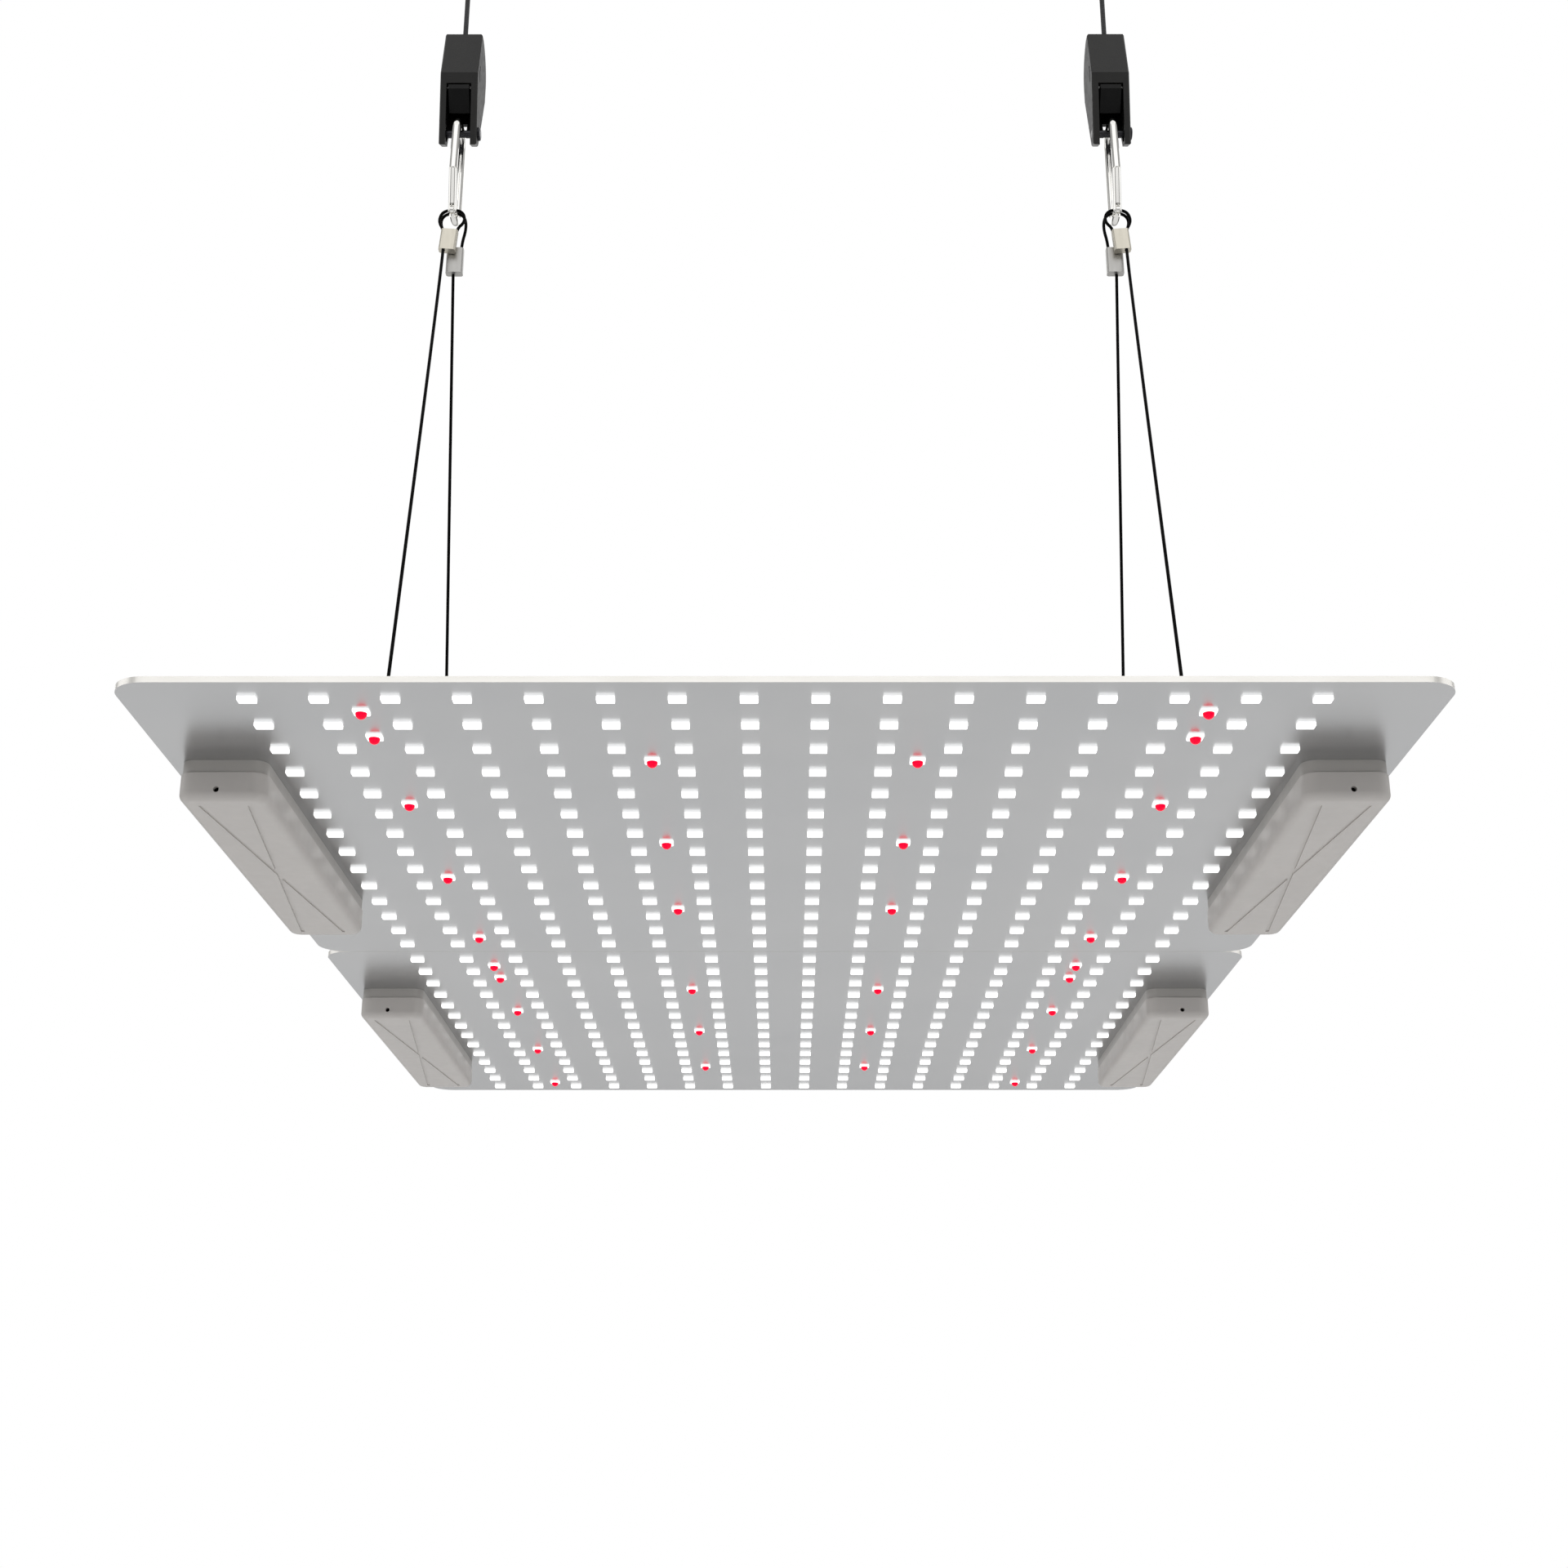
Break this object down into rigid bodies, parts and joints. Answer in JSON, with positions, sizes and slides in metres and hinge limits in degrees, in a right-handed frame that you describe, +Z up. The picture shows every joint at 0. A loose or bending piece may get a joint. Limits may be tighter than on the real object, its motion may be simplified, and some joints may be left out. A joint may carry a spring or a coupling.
{
  "type": "led grow light",
  "caption": "Flat LED grow light of two joined boards with driver covers, hung by wires, carabiners and adjustable rope ratchets.",
  "frame": {"origin": "midway between the two boards, level with the flat bottoms of the driver covers", "axes": "+Z up along the hanging lines, +Y from the front edge to the rear, +X to the right seen from the front"},
  "size_m": [0.372, 0.5674, 0.5581],
  "materials": {
    "board_enamel": "smooth satin solder mask on aluminium, cream white at the cut edge",
    "white_led": "lit white phosphor packages",
    "red_led": "lit red domes on white bases",
    "cover_plastic": "fine moulded satin",
    "component_black": "moulded component bodies",
    "screw_steel": "zinc plated",
    "box_plastic": "fine spark texture",
    "terminal_plastic": "natural nylon",
    "lead_rubber": "PVC insulation",
    "ferrule_aluminium": "crimped, bright",
    "bar_aluminium": "brushed and clear anodised",
    "clip_chrome": "polished nickel plate",
    "ratchet_nylon": "satin moulded nylon",
    "wheel_nylon": "smooth nylon",
    "pin_black": "black oxide",
    "rope_fibre": "tight braid",
    "wire_coating": "smooth black sleeve over steel wire"
  },
  "bodies": {
    "upper_hooks": {"upper_carabiner_left": "clip_chrome", "upper_carabiner_right": "clip_chrome", "upper_gate_pins": "clip_chrome"},
    "upper_gate_left": {"upper_gate_left": "clip_chrome"},
    "upper_gate_right": {"upper_gate_right": "clip_chrome"},
    "ropes": {"rope_upper_left": "rope_fibre", "rope_upper_right": "rope_fibre", "rope_loops": "rope_fibre", "rope_ferrules": "ferrule_aluminium"},
    "ratchets": {"ratchet_shell_inner_left": "ratchet_nylon", "ratchet_shell_inner_right": "ratchet_nylon", "ratchet_shell_outer_left": "ratchet_nylon", "ratchet_shell_outer_right": "ratchet_nylon", "wheel_axles": "screw_steel", "lever_pins": "screw_steel", "hook_pins": "pin_black", "lever_springs": "screw_steel", "rope_wraps": "rope_fibre"},
    "wheel_left": {"ratchet_wheel_left": "wheel_nylon"},
    "wheel_right": {"ratchet_wheel_right": "wheel_nylon"},
    "lever_left": {"release_lever_left": "ratchet_nylon"},
    "lever_right": {"release_lever_right": "ratchet_nylon"},
    "lower_carabiners": {"lower_carabiner_left": "clip_chrome", "lower_carabiner_right": "clip_chrome", "lower_gate_pins": "clip_chrome"},
    "lower_gate_left": {"lower_gate_left": "clip_chrome"},
    "lower_gate_right": {"lower_gate_right": "clip_chrome"},
    "light": {"led_board_front": "board_enamel", "white_leds_front": "white_led", "red_leds_front": "red_led", "driver_cover_front_left": "cover_plastic", "cover_base_front_left": "cover_plastic", "hanging_wire_front_left": "wire_coating", "driver_cover_front_right": "cover_plastic", "cover_base_front_right": "cover_plastic", "hanging_wire_front_right": "wire_coating", "led_board_rear": "board_enamel", "white_leds_rear": "white_led", "red_leds_rear": "red_led", "driver_cover_rear_left": "cover_plastic", "cover_base_rear_left": "cover_plastic", "hanging_wire_rear_left": "wire_coating", "driver_cover_rear_right": "cover_plastic", "cover_base_rear_right": "cover_plastic", "hanging_wire_rear_right": "wire_coating", "driver_parts": "component_black", "cover_screws": "screw_steel", "clinch_studs": "screw_steel", "stud_nuts": "screw_steel", "joining_bar_left": "bar_aluminium", "joining_bar_right": "bar_aluminium", "power_box_base": "box_plastic", "power_box_lid": "box_plastic", "power_box_screws": "screw_steel", "terminal_blocks": "terminal_plastic", "jumper_leads": "lead_rubber", "cable_gland": "box_plastic", "gland_nut": "box_plastic", "loop_ferrules": "ferrule_aluminium", "eye_ferrules": "ferrule_aluminium"}
  },
  "joints": [
    {"name": "rope_swing", "type": "hinge", "parent": "upper_hooks", "child": "ropes", "pos_m": [0, 0, 0.5097], "axis": [1, 0, 0], "range_deg": [-12, 12]},
    {"name": "height_adjust", "type": "slide", "parent": "ropes", "child": "ratchets", "axis": [0, 0, 1], "range_m": [0, 0.02], "deforming": ["rope_upper_left", "rope_upper_right"]},
    {"name": "carabiner_swing", "type": "hinge", "parent": "ratchets", "child": "lower_carabiners", "pos_m": [0, 0, 0.4065], "axis": [1, 0, 0], "range_deg": [-15, 15]},
    {"name": "light_tilt", "type": "hinge", "parent": "lower_carabiners", "child": "light", "pos_m": [0, 0, 0.3635], "axis": [1, 0, 0], "range_deg": [-20, 20]},
    {"name": "wheel_spin_left", "type": "hinge", "parent": "ratchets", "child": "wheel_left", "pos_m": [-0.152, 0.0046, 0.4377], "axis": [1, 0, 0], "range_deg": [0, 252]},
    {"name": "lever_press_left", "type": "hinge", "parent": "ratchets", "child": "lever_left", "pos_m": [-0.152, -0.0046, 0.4293], "axis": [1, 0, 0], "range_deg": [0, 14], "stiffness_Nm_per_rad": 0.02, "springref_deg": -17.19},
    {"name": "lower_gate_open_left", "type": "hinge", "parent": "lower_carabiners", "child": "lower_gate_left", "pos_m": [-0.152, -0.0054, 0.3607], "axis": [-1, 0, 0], "range_deg": [0, 25], "stiffness_Nm_per_rad": 0.03, "springref_deg": -17.19},
    {"name": "upper_gate_open_left", "type": "hinge", "parent": "upper_hooks", "child": "upper_gate_left", "pos_m": [-0.152, -0.0054, 0.50655], "axis": [-1, 0, 0], "range_deg": [0, 25], "stiffness_Nm_per_rad": 0.03, "springref_deg": -17.19},
    {"name": "wheel_spin_right", "type": "hinge", "parent": "ratchets", "child": "wheel_right", "pos_m": [0.152, 0.0046, 0.4377], "axis": [1, 0, 0], "range_deg": [0, 252]},
    {"name": "lever_press_right", "type": "hinge", "parent": "ratchets", "child": "lever_right", "pos_m": [0.152, -0.0046, 0.4293], "axis": [1, 0, 0], "range_deg": [0, 14], "stiffness_Nm_per_rad": 0.02, "springref_deg": -17.19},
    {"name": "lower_gate_open_right", "type": "hinge", "parent": "lower_carabiners", "child": "lower_gate_right", "pos_m": [0.152, -0.0054, 0.3607], "axis": [-1, 0, 0], "range_deg": [0, 25], "stiffness_Nm_per_rad": 0.03, "springref_deg": -17.19},
    {"name": "upper_gate_open_right", "type": "hinge", "parent": "upper_hooks", "child": "upper_gate_right", "pos_m": [0.152, -0.0054, 0.50655], "axis": [-1, 0, 0], "range_deg": [0, 25], "stiffness_Nm_per_rad": 0.03, "springref_deg": -17.19}
  ],
  "couplings": [
    {"joint": "wheel_spin_left", "follows": "height_adjust", "rad_per_m": 217.39},
    {"joint": "wheel_spin_right", "follows": "height_adjust", "rad_per_m": 217.39}
  ]
}
